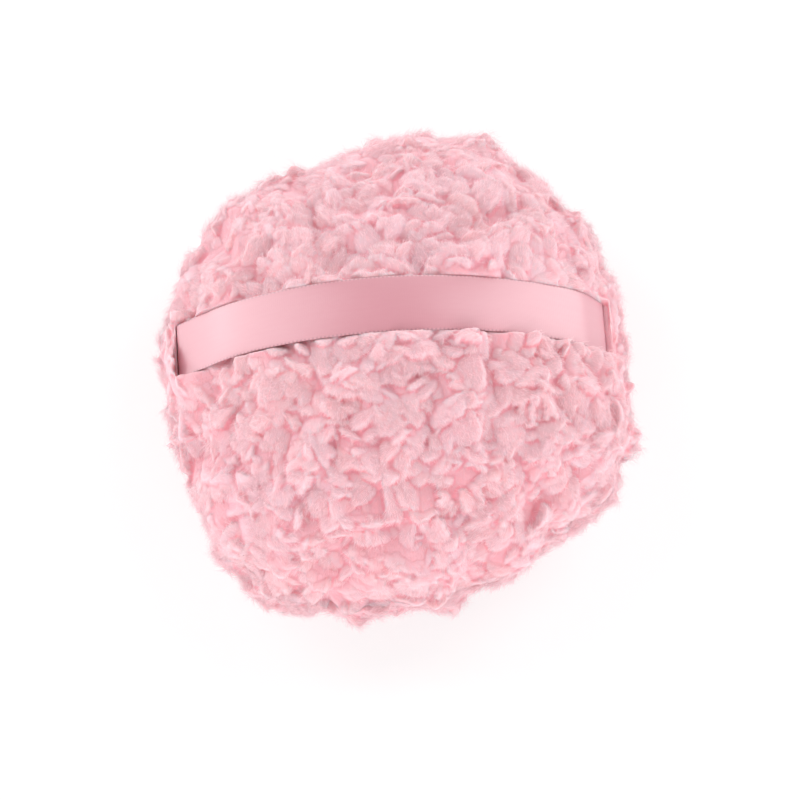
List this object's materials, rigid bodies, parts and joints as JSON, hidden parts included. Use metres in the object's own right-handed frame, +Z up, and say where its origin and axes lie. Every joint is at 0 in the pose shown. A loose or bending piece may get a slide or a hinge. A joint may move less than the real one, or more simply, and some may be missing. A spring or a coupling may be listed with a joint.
{
  "type": "powder puff",
  "caption": "Plump round fleece powder puff with a satin finger strap over its crown, for dusting loose powder onto skin.",
  "frame": {"origin": "on the table under the middle of the puff, at the centre of the flat patch of lower fleece that it rests on", "axes": "+Z up through the crown; +X along the strap, to the right in the picture; +Y to the rear, up in the picture"},
  "size_m": [0.1304, 0.1412, 0.068],
  "materials": {
    "pink_fleece": "long curly pile, matt, softly clumped",
    "backing_cloth": "knitted backing, matt",
    "satin_ribbon": "woven satin, glossy along the crown",
    "fibre_filling": "loose white polyester fibre",
    "sewing_thread": "twisted thread, low sheen"
  },
  "bodies": {
    "puff": {"upper_fleece": "pink_fleece", "lower_fleece": "pink_fleece", "upper_backing_cloth": "backing_cloth", "lower_backing_cloth": "backing_cloth", "fibre_filling": "fibre_filling", "strap_tail_right": "satin_ribbon", "strap_tail_left": "satin_ribbon", "perimeter_seam_thread": "sewing_thread", "closing_stitch_thread": "sewing_thread", "strap_tack_right": "sewing_thread", "strap_tack_left": "sewing_thread"},
    "strap": {"ribbon_strap": "satin_ribbon"}
  },
  "joints": [
    {"name": "strap_lift", "type": "slide", "parent": "puff", "child": "strap", "axis": [0, 0, 1], "range_m": [0, 0.01]}
  ]
}
